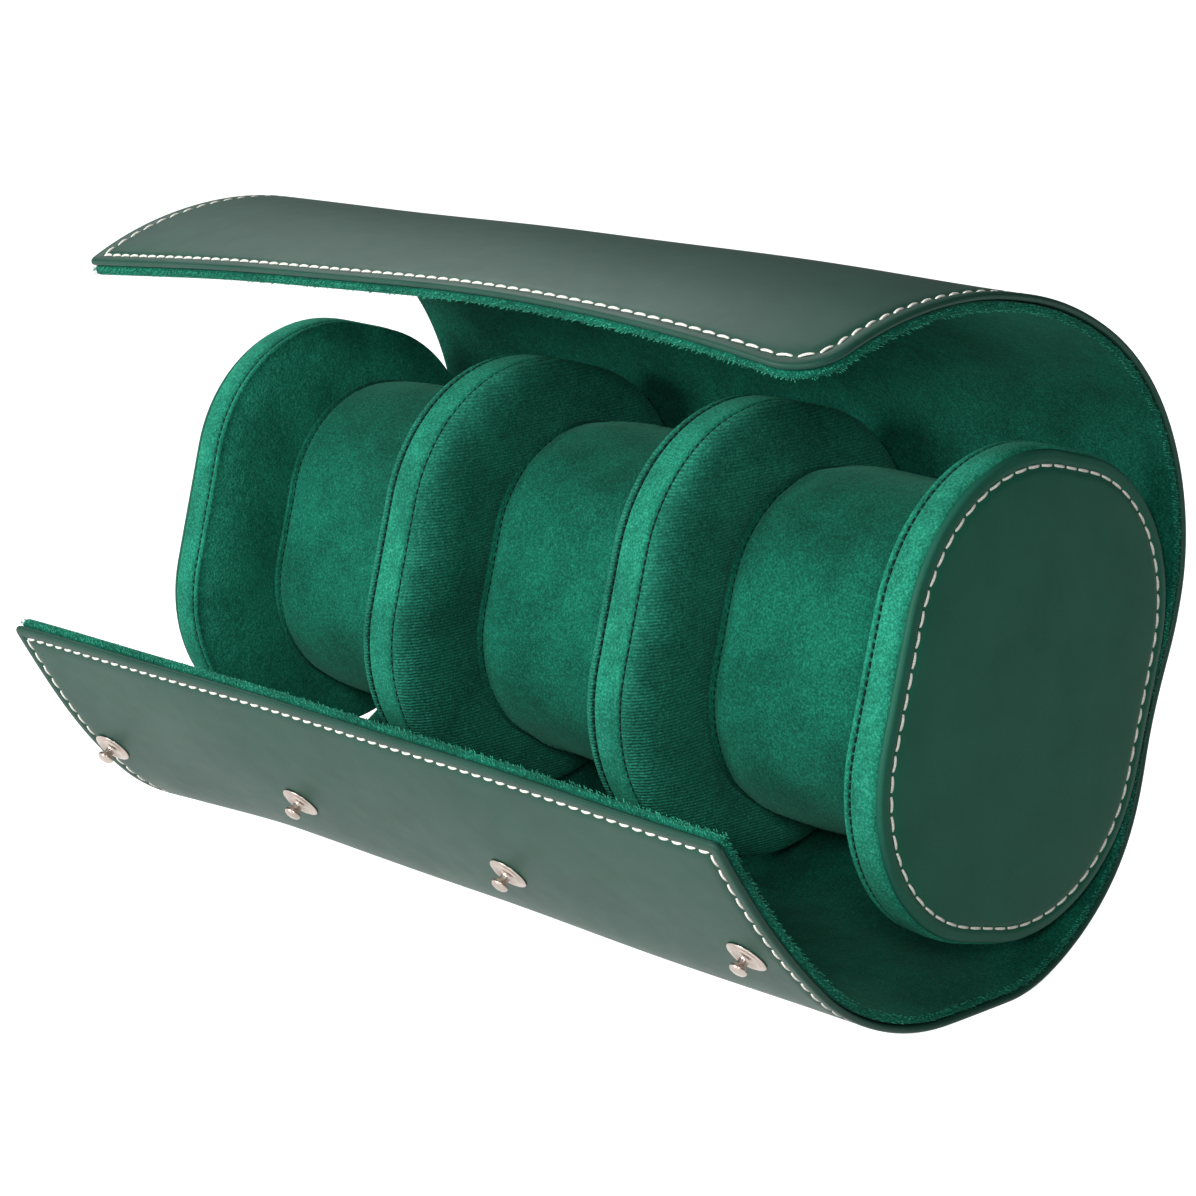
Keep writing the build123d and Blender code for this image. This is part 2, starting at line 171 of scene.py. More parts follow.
def sheet_lift(s, x):
    """How far the soft sheet stands out from its plain bend."""
    across = np.clip(x / sheet_reach, -1, 1)
    top = flap_share(s, meet_crown, sheet_high)
    low = flap_share(s, meet_toe, sheet_low)
    lift = top * np.polyval(edge_curve, across) - low * lower_bow * (1 - across**2)
    lift -= crown_sink * np.maximum(sink_start - across, 0) * bell(s, sink_place, sink_spread)
    lift -= top_sink * (1 - across**4) * bell(s, top_place, top_spread)
    towards_far = np.maximum(-across - swell_start, 0) / (1 - swell_start)
    lift += far_swell * towards_far**1.5 * bell(s, swell_place, swell_spread)
    wave = sum(share * np.sin(x * over + s * up + phase) for share, over, up, phase in sheet_waves)
    off_strip = np.clip((np.abs(s) - strip_width / 2) / strip_width, 0, 1)
    return lift + sheet_wave * wave * off_strip


def sheet_points(s, x, depth):
    """Places in the frame for a place along the sheet, one across it, and a depth below its face."""
    s, x, depth = np.broadcast_arrays(np.asarray(s, float), np.asarray(x, float), np.asarray(depth, float))
    y, z, normal_y, normal_z = sheet_section(s)
    inward = depth - sheet_lift(s, x)
    pull = draw_in * bell(s, draw_place, draw_spread) - flare_out * bell(s, 0.0, flare_spread)
    drawn = np.maximum(x / sheet_reach, 0) ** 2 * pull
    return np.stack([x - drawn, y + normal_y * inward, z + normal_z * inward], -1)


def edge_distance(s, x, inset):
    """Distance inside the sheet's outline, a rectangle with round corners, less an inset."""
    middle, half_span = (sheet_low + sheet_high) / 2, (sheet_high - sheet_low) / 2 - inset
    radius = np.where((s > middle) & (x > 0), top_near_radius, corner_radius) - inset
    over_x = np.abs(x) - (sheet_reach - inset - radius)
    over_s = np.abs(s - middle) - (half_span - radius)
    outside = np.hypot(np.maximum(over_x, 0), np.maximum(over_s, 0))
    return radius - outside - np.minimum(np.maximum(over_x, over_s), 0)


# Mesh building


def link(mesh, name, material):
    piece = bpy.data.objects.new(name, mesh)
    bpy.context.scene.collection.objects.link(piece)
    mesh.materials.append(material)
    return piece


def mesh_piece(name, points, faces, material, sharp=()):
    """A smooth mesh with its doubled points merged, its normals outward and some edges sharp."""
    mesh = bpy.data.meshes.new(name)
    mesh.from_pydata([tuple(p) for p in points], [], faces)
    build = bmesh.new()
    build.from_mesh(mesh)
    build.verts.ensure_lookup_table()
    for a, b in sharp:
        edge = build.edges.get((build.verts[a], build.verts[b]))
        if edge:
            edge.smooth = False
    loose = [v for v in build.verts if not v.link_faces]
    bmesh.ops.delete(build, geom=loose, context="VERTS")
    bmesh.ops.remove_doubles(build, verts=build.verts, dist=1e-6)
    bmesh.ops.recalc_face_normals(build, faces=build.faces)
    for face in build.faces:
        face.smooth = True
    build.to_mesh(mesh)
    build.free()
    return link(mesh, name, material)


def spread(low, high, low_steps, high_steps, pitch):
    """Places from low to high: set steps at each end and even ones between."""
    start, stop = low + low_steps, high - high_steps[::-1]
    count = max(2, round((stop[0] - start[-1]) / pitch))
    return np.concatenate([start, np.linspace(start[-1], stop[0], count + 1)[1:-1], stop])


# Steps from an edge of the sheet inward, close together over its rounding and its stitches
edge_steps = np.array([0, 0.08, 0.25, 0.5, 0.8, 1.2, 1.6, 1.95, 2.3, 2.6, 2.9, 3.25, 3.9, 5.0]) * MM
meeting_steps = np.array([0, 0.3, 0.8, 1.5]) * MM
row_pitch, column_pitch = 2.0 * MM, 3.0 * MM
# A pressed edge is thin over this reach, and more so at the near end than at the far one
pinch_reach, pinch_middle, pinch_change = 5 * MM, 0.65, 0.35


def grid_faces(index, flip=False):
    a, b, c, d = index[:-1, :-1], index[1:, :-1], index[1:, 1:], index[:-1, 1:]
    quads = np.stack([a, d, c, b] if flip else [a, b, c, d], -1).reshape(-1, 4)
    return quads.tolist()


def corner_cut(from_end, radius):
    """How far a round corner cuts a row short at a distance from the free edge."""
    return radius - np.sqrt(np.maximum(radius**2 - np.maximum(radius - from_end, 0) ** 2, 0))


def sheet_layer(name, low, high, start, end, inset, material, relief, pinch):
    """One closed stretch of a layer from one depth to another, with rounded edges that may be pressed."""
    low_free, high_free = low == sheet_low, high == sheet_high
    rows = spread(
        low + (inset if low_free else 0),
        high - (inset if high_free else 0),
        edge_steps if low_free else meeting_steps,
        edge_steps if high_free else meeting_steps,
        row_pitch,
    )
    from_low, from_high = rows - sheet_low - inset, sheet_high - rows - inset
    reach = sheet_reach - inset
    far_cut = corner_cut(np.minimum(from_low, from_high), corner_radius - inset)
    near_low_cut = corner_cut(from_low, corner_radius - inset)
    near_cut = np.maximum(near_low_cut, corner_cut(from_high, top_near_radius - inset))
    count = round((sheet_reach - edge_steps[-1]) * 2 / column_pitch)
    share = np.linspace(0, 1, count + 1)[1:-1]
    lattice = []
    for far_half, near_half in zip(reach - far_cut, reach - near_cut):
        left, right = edge_steps - far_half, (near_half - edge_steps)[::-1]
        lattice.append(np.concatenate([left, left[-1] + share * (right[0] - left[-1]), right]))
    x = np.array(lattice)
    s = np.broadcast_to(rows[:, None], x.shape)
    inside = np.maximum(edge_distance(s, x, inset), 0)
    pressed = pinch_middle + pinch_change * x / sheet_reach
    end = end - pinch * pressed * bell(inside, 0.0, pinch_reach)
    rounding = (end - start) / 2
    fall = rounding - np.sqrt(rounding**2 - np.maximum(rounding - inside, 0) ** 2)
    outer_depth, inner_depth = start + fall, end - fall
    if relief:
        outer_depth = outer_depth + relief(s, x)
    depths = outer_depth, inner_depth
    points = np.concatenate([sheet_points(s, x, depth).reshape(-1, 3) for depth in depths])
    outer = np.arange(x.size).reshape(x.shape)
    inner = outer + x.size
    inner[:, 0], inner[:, -1] = outer[:, 0], outer[:, -1]
    sharp = []
    faces = []
    for free, row in ((low_free, 0), (high_free, -1)):
        if free:
            inner[row] = outer[row]
            continue
        ends = np.stack([outer[row], inner[row]])
        faces += [face for face in grid_faces(ends, row == 0) if len(set(face)) > 2]
        sharp += [(a, b) for line in ends.tolist() for a, b in zip(line, line[1:])]
    faces += grid_faces(outer) + grid_faces(inner, True)
    faces = [list(dict.fromkeys(face)) for face in faces]
    return mesh_piece(name, points, [face for face in faces if len(face) > 2], material, sharp)


# Materials


def linear(red, green, blue):
    """A colour given as 0 to 255 on screen, in Blender's linear values."""
    shares = [value / 255 for value in (red, green, blue)]
    return tuple(share / 12.92 if share <= 0.04 else ((share + 0.055) / 1.055) ** 2.4 for share in shares)


def grey(level):
    return (level,) * 3


class Look:
    """A Principled material and the small steps that its nodes are made of."""

    def __init__(self, name, **sockets):
        self.material = bpy.data.materials.new(name)
        self.material.use_nodes = True
        self.tree = self.material.node_tree
        self.shader = self.tree.nodes["Principled BSDF"]
        for socket, value in sockets.items():
            self.shader.inputs[socket.replace("_", " ")].default_value = value
        self.place = self.tree.nodes.new("ShaderNodeTexCoord").outputs["Object"]

    def node(self, kind, **inputs):
        made = self.tree.nodes.new(kind)
        for name, value in inputs.items():
            self.feed(made.inputs[name.replace("_", " ")], value)
        return made

    def feed(self, socket, value):
        if isinstance(value, bpy.types.NodeSocket):
            self.tree.links.new(value, socket)
        else:
            socket.default_value = value

    def speckle(self, size, detail=2.0, roughness=0.55):
        """Noise whose grains are about this size, in metres."""
        grain = {"Scale": 1 / size, "Detail": detail, "Roughness": roughness}
        return self.node("ShaderNodeTexNoise", Vector=self.place, **grain).outputs["Fac"]

    def ramp(self, value, *stops):
        made = self.node("ShaderNodeValToRGB", Fac=value)
        ramp = made.color_ramp
        for index, (place, colour) in enumerate(stops):
            stop = ramp.elements[index] if index < 2 else ramp.elements.new(place)
            stop.position, stop.color = place, (*colour, 1)
        return made.outputs["Color"]

    def span(self, value, low, high):
        made = self.node("ShaderNodeMapRange", Value=value, To_Min=low, To_Max=high)
        return made.outputs["Result"]

    def multiply(self, share, first, second):
        made = self.tree.nodes.new("ShaderNodeMix")
        made.data_type, made.blend_type = "RGBA", "MULTIPLY"
        self.feed(made.inputs["Factor"], share)
        self.feed(made.inputs[6], first)
        self.feed(made.inputs[7], second)
        return made.outputs[2]

    def add(self, first, second):
        made = self.tree.nodes.new("ShaderNodeMath")
        self.feed(made.inputs[0], first)
        self.feed(made.inputs[1], second)
        return made.outputs[0]

    def shade(self, share, colour, value, start, darkest, stop):
        """The colour darkened where a value is low, by a grey at start and by nothing from stop up."""
        return self.multiply(share, colour, self.ramp(value, (start, grey(darkest)), (stop, grey(1.0))))

    def fade(self, colour, middle, reach, darkest):
        """Painted shade: the colour as it is about a height in the object, and darkened at a reach above
        and below it.
        """
        height = self.node("ShaderNodeSeparateXYZ", Vector=self.place).outputs["Z"]
        low, high = middle - reach, middle + reach
        share = self.node("ShaderNodeMapRange", Value=height, From_Min=low, From_Max=high)
        edge, full = grey(darkest), grey(1.0)
        greys = self.ramp(share.outputs["Result"], (0.0, edge), (0.46, full), (0.6, full), (1.0, edge))
        return self.multiply(1.0, colour, greys)

    def bump(self, height, strength, distance):
        made = self.node("ShaderNodeBump", Height=height, Strength=strength, Distance=distance)
        self.feed(self.shader.inputs["Normal"], made.outputs["Normal"])

    def colour(self, value):
        self.feed(self.shader.inputs["Base Color"], value)


def leather_look(name, gloss, deep, light):
    """Smooth coated leather: a faint mottle, a fine close grain and a soft shine."""
    look = Look(name, Specular_IOR_Level=gloss)
    mottle = look.speckle(14 * MM, 3.0)
    body = look.ramp(mottle, (0.3, linear(*deep)), (0.7, linear(*light)))
    grain = look.speckle(0.45 * MM, 3.0, 0.6)
    look.colour(look.shade(0.35, body, grain, 0.3, 0.72, 0.65))
    look.feed(look.shader.inputs["Roughness"], look.span(look.speckle(5 * MM), 0.43, 0.53))
    look.bump(look.add(grain, look.speckle(1.3 * MM, 1.0)), 0.10, 0.12 * MM)
    return look.material


def velvet_look(name, deep, mid, bright, ribs=False, fade=None):
    """Short pile: fine grain, brushed patches and a sheen, with ribs or painted shade towards top and
    bottom.
    """
    look = Look(name, Roughness=0.95, Specular_IOR_Level=0.08, Sheen_Weight=0.14, Sheen_Roughness=0.5)
    look.shader.inputs["Sheen Tint"].default_value = (*linear(120, 225, 190), 1)
    pile = look.speckle(0.42 * MM, 2.0, 0.6)
    tufts = look.speckle(1.5 * MM, 2.0)
    brushed = look.speckle(12 * MM, 3.0)
    height = look.add(pile, tufts)
    body = look.ramp(pile, (0.28, linear(*deep)), (0.5, linear(*mid)), (0.75, linear(*bright)))
    body = look.shade(0.55, body, tufts, 0.35, 0.8, 0.6)
    if ribs:
        ribbing = {"Scale": rib_scale, "Distortion": 2.2, "Detail": 2.0, "Detail Scale": 1.6}
        wave = look.node("ShaderNodeTexWave", Vector=look.place, **ribbing)
        wave.bands_direction = "Z"
        rows = wave.outputs["Fac"]
        body = look.shade(0.7, body, rows, 0.15, 0.62, 0.6)
        height = look.add(height, look.span(rows, 0, 1.6))
    body = look.shade(0.8, body, brushed, 0.36, 0.6, 0.6)
    # Painted shade on the pillows: darker towards their top and bottom
    look.colour(look.fade(body, *fade) if fade else body)
    look.bump(height, 0.55, 0.35 * MM)
    return look.material


def thread_look(name, colour, shade):
    """Thread with fine uneven strands."""
    look = Look(name, Roughness=0.8, Specular_IOR_Level=0.15)
    strands = look.speckle(0.25 * MM, 1.0)
    look.colour(look.ramp(strands, (0.3, linear(*shade)), (0.6, linear(*colour))))
    look.bump(strands, 0.4, 0.1 * MM)
    return look.material


def metal_look():
    look = Look("snap_metal", Metallic=1.0, Roughness=0.34)
    wear = look.speckle(2.5 * MM, 2.0)
    look.colour(look.ramp(wear, (0.3, linear(164, 151, 142)), (0.7, linear(186, 174, 165))))
    look.feed(look.shader.inputs["Roughness"], look.span(wear, 0.3, 0.38))
    return look.material


def board_look():
    look = Look("stiffener_board", Roughness=0.95, Specular_IOR_Level=0.1)
    fibre = look.speckle(0.7 * MM, 3.0)
    look.colour(look.ramp(fibre, (0.3, linear(8, 17, 14)), (0.7, linear(16, 30, 25))))
    look.bump(fibre, 0.3, 0.2 * MM)
    return look.material


def foam_look():
    look = Look("foam", Roughness=0.95)
    cells = look.speckle(0.6 * MM, 2.0)
    look.colour(look.ramp(cells, (0.3, linear(176, 174, 162)), (0.7, linear(214, 212, 202))))
    look.bump(cells, 0.5, 0.4 * MM)
    return look.material


# At scale 1 a wave texture repeats about every 0.32 units
rib_pitch = 0.62 * MM
rib_scale = 0.32 / rib_pitch
# Painted shade: the pillows' velvet is darkened away from their middle height, where less light falls, over
# this reach and down to this share
pillow_painted_shade = (56 * MM, 33 * MM, 0.5)
leather = leather_look("smooth_leather", 0.17, (24, 62, 51), (29, 69, 57))
# Painted light: the end caps' leather is a lighter, greener copy of the same leather, for how the light
# falls on the caps; it is also less glossy
cap_leather = leather_look("cap_leather", 0.08, (27, 80, 64), (32, 88, 71))
lining_velvet = velvet_look("velvet_lining", (6, 62, 49), (12, 86, 68), (28, 118, 95))
velvet = velvet_look("velvet", (8, 72, 57), (15, 98, 77), (35, 132, 106), fade=pillow_painted_shade)
# Painted light: the rim bands' velvet is a lighter copy of the velvet, for the light on bands that face out
# and to the front
rim_velvet_painted_light = velvet_look("velvet_rim", (17, 96, 75), (30, 126, 101), (58, 162, 132))
# Painted highlight: the fringe's fibres are real, and their lighter velvet stands in for the light that the
# fuzzy edges catch
fringe_velvet_painted_highlight = velvet_look("velvet_fringe", (38, 140, 112), (60, 172, 140), (92, 200, 166))
ribbed_velvet = velvet_look("velvet_ribbed", (18, 94, 76), (32, 124, 101), (62, 162, 134), ribs=True)
cream_thread = thread_look("cream_thread", (238, 236, 228), (196, 193, 182))
green_thread = thread_look("green_thread", (5, 34, 26), (2, 18, 14))
snap_metal = metal_look()
board = board_look()
foam = foam_look()

node_looks = {"foam": foam, "core": foam, "board": board, "backplates": snap_metal}
for node_name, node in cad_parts.items():
    ending = node_name.replace("_far", "").replace("_near", "").split("_")[-1]
    node.data.materials.clear()
    node.data.materials.append(node_looks.get(ending, velvet))


# The sheet: leather, board and lining, each in four stretches that bend across one crease each
stretches = (
    ("lower", sheet_low, meet_toe, lower_crease, ("lower_flap", "toe"), ("lower_flap",)),
    ("bottom", meet_toe, meet_heel, toe_crease, ("toe", "roll"), ("toe",)),
    ("back", meet_heel, meet_crown, back_crease, ("roll", "crown"), ("back",)),
    ("top", meet_crown, sheet_high, top_crease, ("crown", "top_flap"), ("crown", "top_flap")),
)
bend_reach = 11 * MM
# Where each layer starts and ends below the sheet's outer face, and how far its edges stand inside
lining_start, lining_inset = 1.6 * MM, 0.2 * MM
leather_place = (0.0, 1.3 * MM, 0.0)
board_place = (1.15 * MM, 1.9 * MM, 1.3 * MM)
lining_place = (lining_start, sheet_thickness, lining_inset)
lining_pinch = 1.1 * MM
stitch_inset = 2.6 * MM
groove_depth, groove_width = 0.36 * MM, 0.62 * MM


def stitch_groove(s, x):
    """The leather is pulled in along its stitch line."""
    off = edge_distance(s, x, 0.0) - stitch_inset
    return groove_depth * bell(off, 0.0, groove_width)


def bend_across(piece, crease_place):
    """Bakes the piece's place into its points; the sheet's points about the crease are worked out but not
    used.
    """
    ends = sheet_points([crease_place - bend_reach, crease_place + bend_reach], 0.0, half_sheet)
    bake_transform(piece)


sheet_layers = (
    ("leather", "smooth_leather", leather, leather_place, stitch_groove, 0.0),
    ("board", "stiffener_board", board, board_place, None, 0.0),
    ("lining", "velvet_lining", lining_velvet, lining_place, None, lining_pinch),
)
for kind, slot, look, place, relief, pinch in sheet_layers:
    for stretch, low, high, crease_place, bodies, nodes in stretches:
        piece = sheet_layer(f"sheet_{kind}_{stretch}", low, high, *place, look, relief, pinch)
        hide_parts(*[f"{node}_{kind}" for node in nodes])
        bend_across(piece, crease_place)


# Stitches: short arched lengths of thread whose ends dive into the surface
stitch_sides = 7
stitch_rings = 7
stitch_tip = 0.08
thread_sunk, thread_flat = 0.75, 0.8


def stitch_mesh(start, end, normal, thread_radius, rise):
    """Points and faces of one stitch from start to end on a surface with this normal."""
    along = end - start
    across = np.cross(along, normal)
    across /= np.linalg.norm(across)
    points, faces = [], []
    for ring in range(stitch_rings):
        t = ring / (stitch_rings - 1)
        swell = math.sin(math.pi * (stitch_tip + (1 - 2 * stitch_tip) * t))
        middle = start + along * t + normal * (rise * swell**0.6 - thread_radius * thread_sunk)
        radius = thread_radius * swell**0.22
        for side in range(stitch_sides):
            angle = 2 * math.pi * side / stitch_sides
            spoke = math.cos(angle) * across + thread_flat * math.sin(angle) * normal
            points.append(middle + radius * spoke)
    for ring in range(stitch_rings - 1):
        for side in range(stitch_sides):
            nearer, further = ring * stitch_sides, (ring + 1) * stitch_sides
            after = (side + 1) % stitch_sides
            faces.append([nearer + side, nearer + after, further + after, further + side])
    first_end = list(range(stitch_sides))
    last_end = [len(points) - stitch_sides + side for side in range(stitch_sides)]
    return points, faces + [first_end[::-1], last_end]


def stitched(name, places, material, thread_radius=0.28 * MM, rise=0.34 * MM):
    """One mesh of all the stitches, given as (start, end, normal)."""
    points, faces = [], []
    for start, end, normal in places:
        more, sides = stitch_mesh(start, end, normal, thread_radius, rise)
        faces += [[index + len(points) for index in side] for side in sides]
        points += more
    return mesh_piece(name, points, faces, material)


def sewn(name, places, material, body, *thread):
    """A piece of stitches that rides with one body."""
    piece = stitched(name, places, material, *thread)
    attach(piece, body)


# The sheet's stitches are closer together along its free edges than along its two ends
edge_pitch, side_pitch = 3.05 * MM, 3.5 * MM
stitch_share = 0.75
stitch_slant = 0.14 * MM
stitch_bed = 0.8 * groove_depth


def sheet_stitches():
    """Start, end and normal of each stitch round the sheet, with its place along the sheet."""
    half, low, high = sheet_reach - stitch_inset, sheet_low + stitch_inset, sheet_high - stitch_inset
    turn = top_near_radius - stitch_inset
    corners = [(high, half - turn), (high, -half), (low, -half), (low, half)]
    for angle in np.radians((90, 60, 30, 0)):
        corners.append((high - turn + turn * math.cos(angle), half - turn + turn * math.sin(angle)))
    corners = [np.array(corner) for corner in corners]
    made = []
    for corner, following in zip(corners, corners[1:]):
        side = following - corner
        count = round(np.hypot(*side) / (edge_pitch if abs(side[1]) > abs(side[0]) else side_pitch))
        step = side / count
        way = step / np.hypot(*step)
        stitch_length = stitch_share * np.hypot(*step)
        slant = np.array([-way[1], way[0]]) * stitch_slant
        for index in range(count):
            middle = corner + step * (index + 0.5)
            ends = [middle - way * stitch_length / 2 - slant, middle + way * stitch_length / 2 + slant]
            place = sheet_points([end[0] for end in ends], [end[1] for end in ends], stitch_bed)
            y, z, normal_y, normal_z = sheet_section(middle[0])
            made.append((middle[0], (*place, -np.array([0, normal_y, normal_z]))))
    return made


# The lining's pile frays at its cut edge: short closed fibres that stand out from it, in a lighter velvet
# that is a painted highlight on the fuzzy edge
fringe_pitch = 0.16 * MM
fibre_length, fibre_radius, fibre_root = 0.34 * MM, 0.12 * MM, 0.4 * MM
fibre_stray, fibre_shortest, fibre_longest = 0.45, 0.4, 1.4
fringe_start, fringe_end = lining_start + 0.15 * MM, sheet_thickness - 0.8 * lining_pinch
fibre_skew = (0.3, 0.5, 0.8)
fibre_corners = ((1.0, 0.0), (-0.5, 0.87), (-0.5, -0.87))
fibre_faces = ((0, 1, 3), (1, 2, 3), (2, 0, 3), (2, 1, 0))


def fringe_fibres():
    """Points of each fibre round the lining's edge, with its place along the sheet."""
    reach, low, high = sheet_reach - lining_inset, sheet_low + lining_inset, sheet_high - lining_inset
    turn = top_near_radius - lining_inset
    route = [(high, x, 1, 0) for x in np.arange(-reach, reach - turn, fringe_pitch)]
    for angle in np.arange(0, math.pi / 2, fringe_pitch / turn):
        way = math.cos(angle), math.sin(angle)
        route.append((high - turn + turn * way[0], reach - turn + turn * way[1], *way))
    route += [(s, reach, 0, 1) for s in np.arange(high - turn, low, -fringe_pitch)]
    route += [(low, x, -1, 0) for x in np.arange(reach, -reach, -fringe_pitch)]
    route += [(s, -reach, 0, -1) for s in np.arange(low, high, fringe_pitch)]
    made = []
    for s, x, way_s, way_x in route:
        depth = random.uniform(fringe_start, fringe_end)
        root, edge = sheet_points([s - way_s * fibre_root, s], [x - way_x * fibre_root, x], depth)
        stray = np.array([random.uniform(-fibre_stray, fibre_stray) for axis in range(3)])
        way = (edge - root) / fibre_root + stray
        tip = edge + way * fibre_length * random.uniform(fibre_shortest, fibre_longest)
        side = np.cross(tip - root, fibre_skew)
        side *= fibre_radius / np.linalg.norm(side)
        other = np.cross(tip - root, side)
        other *= fibre_radius / np.linalg.norm(other)
        made.append((s, [root + side * a + other * b for a, b in fibre_corners] + [tip]))
    return made


all_fibres = fringe_fibres()
all_stitches = sheet_stitches()
for stretch, low, high, crease_place, bodies, nodes in stretches:
    points, faces = [], []
    for place, fibre in all_fibres:
        if low <= place < high:
            first = len(points)
            faces += [[first + index for index in face] for face in fibre_faces]
            points += fibre
    fringe = mesh_piece(f"sheet_fringe_{stretch}", points, faces, fringe_velvet_painted_highlight)
    bend_across(fringe, crease_place)
    own = [stitch for place, stitch in all_stitches if low <= place < high]
    piece = stitched(f"sheet_stitches_{stretch}", own, cream_thread)
    bend_across(piece, crease_place)


# The roll's padded discs stand across X, leaning back with the sheet
lean = math.radians(sum(turn for length, turn in back_runs) - 90)
lean_y, lean_z = math.cos(lean), math.sin(lean)
seat_place = length_of(heel_runs) + back_runs[-1][0] / 2
seat_y, seat_z, seat_normal_y, seat_normal_z = sheet_section(seat_place)
roll_reach = sheet_thickness + roll_seat + roll_width / 2
roll_y, roll_z = float(seat_y + seat_normal_y * roll_reach), float(seat_z + seat_normal_z * roll_reach)


def roll_points(x, back, up):
    """Places in the frame for a place along the roll and two across it, back and up."""
    x, back, up = np.broadcast_arrays(x, back, up)
    y = roll_y + lean_y * back - lean_z * up
    z = roll_z + lean_z * back + lean_y * up
    return np.stack([x, y, z], -1)


corner_points, side_points = 24, 6
uneven_size, uneven_rim = 12 * MM, 4 * MM


def round_outline(width, height, radius):
    """Outline of a rectangle with round corners: a centre and an outward direction for each point."""
    centres, ways = [], []
    half_flat, half_tall = width / 2 - radius, height / 2 - radius
    corners = ((1, 1, 0), (-1, 1, 90), (-1, -1, 180), (1, -1, 270))
    for index, (side_a, side_b, first) in enumerate(corners):
        centre = np.array([side_a * half_flat, side_b * half_tall])
        for turn in np.linspace(first, first + 90, corner_points):
            angle = math.radians(turn)
            centres.append(centre)
            ways.append((math.cos(angle), math.sin(angle)))
        next_a, next_b, after = corners[(index + 1) % 4]
        following = np.array([next_a * half_flat, next_b * half_tall])
        for share in np.linspace(0, 1, side_points + 2)[1:-1]:
            centres.append(centre + (following - centre) * share)
            ways.append((math.cos(math.radians(after)), math.sin(math.radians(after))))
    return np.array(centres), np.array(ways)


class Disc:
    """A rectangle with round corners across the roll, set off from its middle, back and up."""

    def __init__(self, width, height, radius, back=0.0, up=0.0):
        self.centres, self.ways = round_outline(width, height, radius)
        self.radius, self.half, self.back, self.up = radius, width / 2, back, up
        self.turn_in = 0.8 * radius

    def ring(self, inset):
        """Back and up of each outline point, drawn in by an inset and shrunk to the middle past turn_in."""
        inset = np.asarray(inset, float)
        drawn = self.radius - np.minimum(inset, self.turn_in)
        shrink = np.clip((self.half - inset) / (self.half - self.turn_in), 0, 1)
        flat = (self.centres + self.ways * np.reshape(drawn, (-1, 1))) * np.reshape(shrink, (-1, 1))
        return flat[:, 0] + self.back, flat[:, 1] + self.up


def wander(points, size, amount):
    """A slow uneven swell for padded surfaces, the same each run."""
    return np.array([noise.noise(Vector(p) / size) for p in points]) * amount


def stacked(name, disc, profile, x, way, material, uneven=0.0):
    """A closed padded form from a profile of (distance along X, inset) pairs round a disc."""
    rings = []
    for along, inset in profile:
        back, up = disc.ring(inset)
        ring = roll_points(x + way * along, back, up)
        if uneven:
            push = way * (1 if along > 0 else -1) * min(1.0, inset / uneven_rim)
            ring[:, 0] += wander(ring, uneven_size, uneven) * push
        rings.append(ring)
    count = len(rings[0])
    points = np.concatenate(rings)
    index = np.arange(len(points)).reshape(len(rings), count)
    faces = grid_faces(np.concatenate([index, index[:, :1]], axis=1))
    return mesh_piece(name, points, faces, material)


crown_steps, crown_crowding, crown_power = 16, 1.6, 2.3


def crown_profile(start, height, from_inset, reach, half):
    """From a rim at from_inset up a padded swell to its middle: (along, inset) pairs."""
    pairs = []
    for step in range(1, crown_steps + 1):
        inset = from_inset + (half - from_inset) * (step / crown_steps) ** crown_crowding
        rise = 1 - max(0.0, 1 - (inset - from_inset) / reach) ** crown_power
        pairs.append((start + height * rise, inset))
    return pairs


def ring_stitches(disc, x, inset, pitch, length, facing, outward):
    """Stitches along a disc's outline at x. Facing is their normal's share along X, outward the rest."""
    back, up = disc.ring(inset)
    points = roll_points(x, back, up)
    points = np.concatenate([points, points[:1]])
    run = np.concatenate([[0], np.cumsum(np.linalg.norm(np.diff(points, axis=0), axis=1))])
    count = round(run[-1] / pitch)
    middle = roll_points(x, disc.back, disc.up)
    made = []
    for index in range(count):
        centre = (index + 0.5) * run[-1] / count
        ends = [centre - length / 2, centre + length / 2]
        start, end = (np.array([np.interp(at, run, points[:, axis]) for axis in range(3)]) for at in ends)
        rim_way = (start + end) / 2 - middle
        rim_way /= np.linalg.norm(rim_way)
        normal = np.array([facing, 0, 0]) + rim_way * outward
        made.append((start, end, normal / np.linalg.norm(normal)))
    return made


def upholstered(piece, slot, body, *nodes, fill):
    """A padded piece takes the place of CAD nodes and rides with one body."""
    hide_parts(*nodes)
    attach(piece, body)


# The velvet makes the discs a little larger, the near one sags and the far one is drawn in at its back
roll_swell = 0.45 * MM
near_sag, far_draw = 1.7 * MM, 2.6 * MM
wide, tall, corner = roll_width + 2 * roll_swell, roll_height + 2 * roll_swell, roll_corner + roll_swell
roll_disc = Disc(wide, tall, corner)
near_disc = Disc(wide, tall + near_sag, corner, up=-near_sag / 2)
far_disc = Disc(wide - far_draw, tall, roll_corner - far_draw / 2, back=-far_draw / 2)

# End caps: a leather panel with a rounded edge over a velvet tub with a seam near its lip
panel_inset = 0.45 * MM
panel_thickness = 1.9 * MM
panel_edge = 0.85 * MM
panel_dome, dome_reach = 0.8 * MM, 4 * MM
panel_steps = 59
panel_stitch_inset = 3.2 * MM
panel_dip, dip_width = 0.5 * MM, 0.7 * MM
panel_pitch, panel_stitch = 3.5 * MM, 2.8 * MM
thread_dip = 0.42 * MM
cap_outer = half_length + 0.4 * MM
cap_joint = cap_outer - panel_thickness
cap_inner = 88.9 * MM
cap_crown, cap_crown_reach = 2.0 * MM, 14 * MM
cap_seam = 1.3 * MM
cap_seam_inset = 0.42 * MM
cap_uneven = 0.25 * MM
band_bulge = 0.2 * MM
lip_round = 0.6 * MM
seam_pitch, seam_stitch = 1.6 * MM, 1.05 * MM
seam_thread, seam_rise = 0.27 * MM, 0.24 * MM


